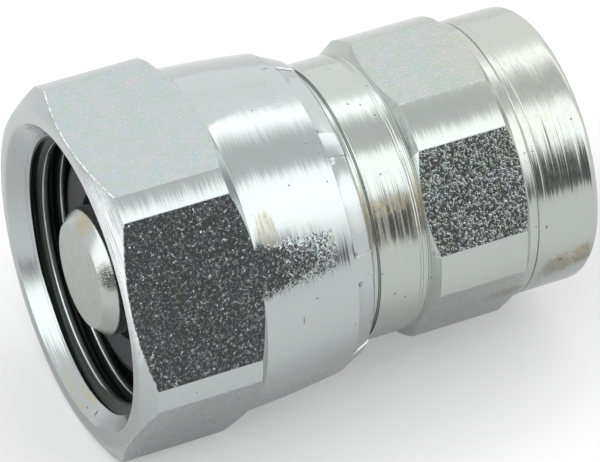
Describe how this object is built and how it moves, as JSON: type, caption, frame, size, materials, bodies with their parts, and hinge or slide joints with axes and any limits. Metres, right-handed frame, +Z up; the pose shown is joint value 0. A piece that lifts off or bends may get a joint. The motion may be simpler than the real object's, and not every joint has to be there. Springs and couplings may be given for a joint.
{
  "type": "screw-to-connect hydraulic coupling half",
  "caption": "Coupling half with a freely turning hex union nut crimped over a hex body, a sprung flat-ended poppet in its mouth and a threaded port at the rear.",
  "frame": {"origin": "centre of the seal face, on the common axis, where the mating half stops", "axes": "+X along the common axis from the mouth to the port, +Z up, the nut standing on one flat"},
  "size_m": [0.0535, 0.04, 0.036],
  "materials": {
    "plated_nut": "zinc-plated, turned faces bright, hexagon flats raw and pitted",
    "plated_body": "zinc-plated, turned grooves bright, hexagon flats raw and pitted",
    "plated_nose": "zinc-plated, dull",
    "plated_poppet": "zinc-plated, satin, stained",
    "ring_steel": "ground",
    "spring_steel": "oiled wire",
    "guide_brass": "machined",
    "seal_rubber": "moulded, matt",
    "white_ptfe": "turned"
  },
  "bodies": {
    "body": {"nose_body": "plated_nose", "end_body": "plated_body", "face_seal": "seal_rubber", "nut_o_ring": "seal_rubber", "thrust_ring": "ring_steel", "body_o_ring": "seal_rubber", "body_backup_ring": "white_ptfe", "valve_guide": "guide_brass", "guide_bush": "white_ptfe", "guide_circlip": "spring_steel", "valve_spring": "spring_steel"},
    "nut": {"union_nut": "plated_nut"},
    "poppet": {"valve_poppet": "plated_poppet", "poppet_seal": "seal_rubber", "seal_retainer": "ring_steel"}
  },
  "joints": [
    {"name": "nut_spin", "type": "hinge", "parent": "body", "child": "nut", "pos_m": [0, 0, 0], "axis": [1, 0, 0], "continuous": true},
    {"name": "poppet_slide", "type": "slide", "parent": "body", "child": "poppet", "axis": [1, 0, 0], "range_m": [0, 0.006], "stiffness_N_per_m": 2000, "springref_m": -0.006, "deforming": ["valve_spring"]}
  ]
}
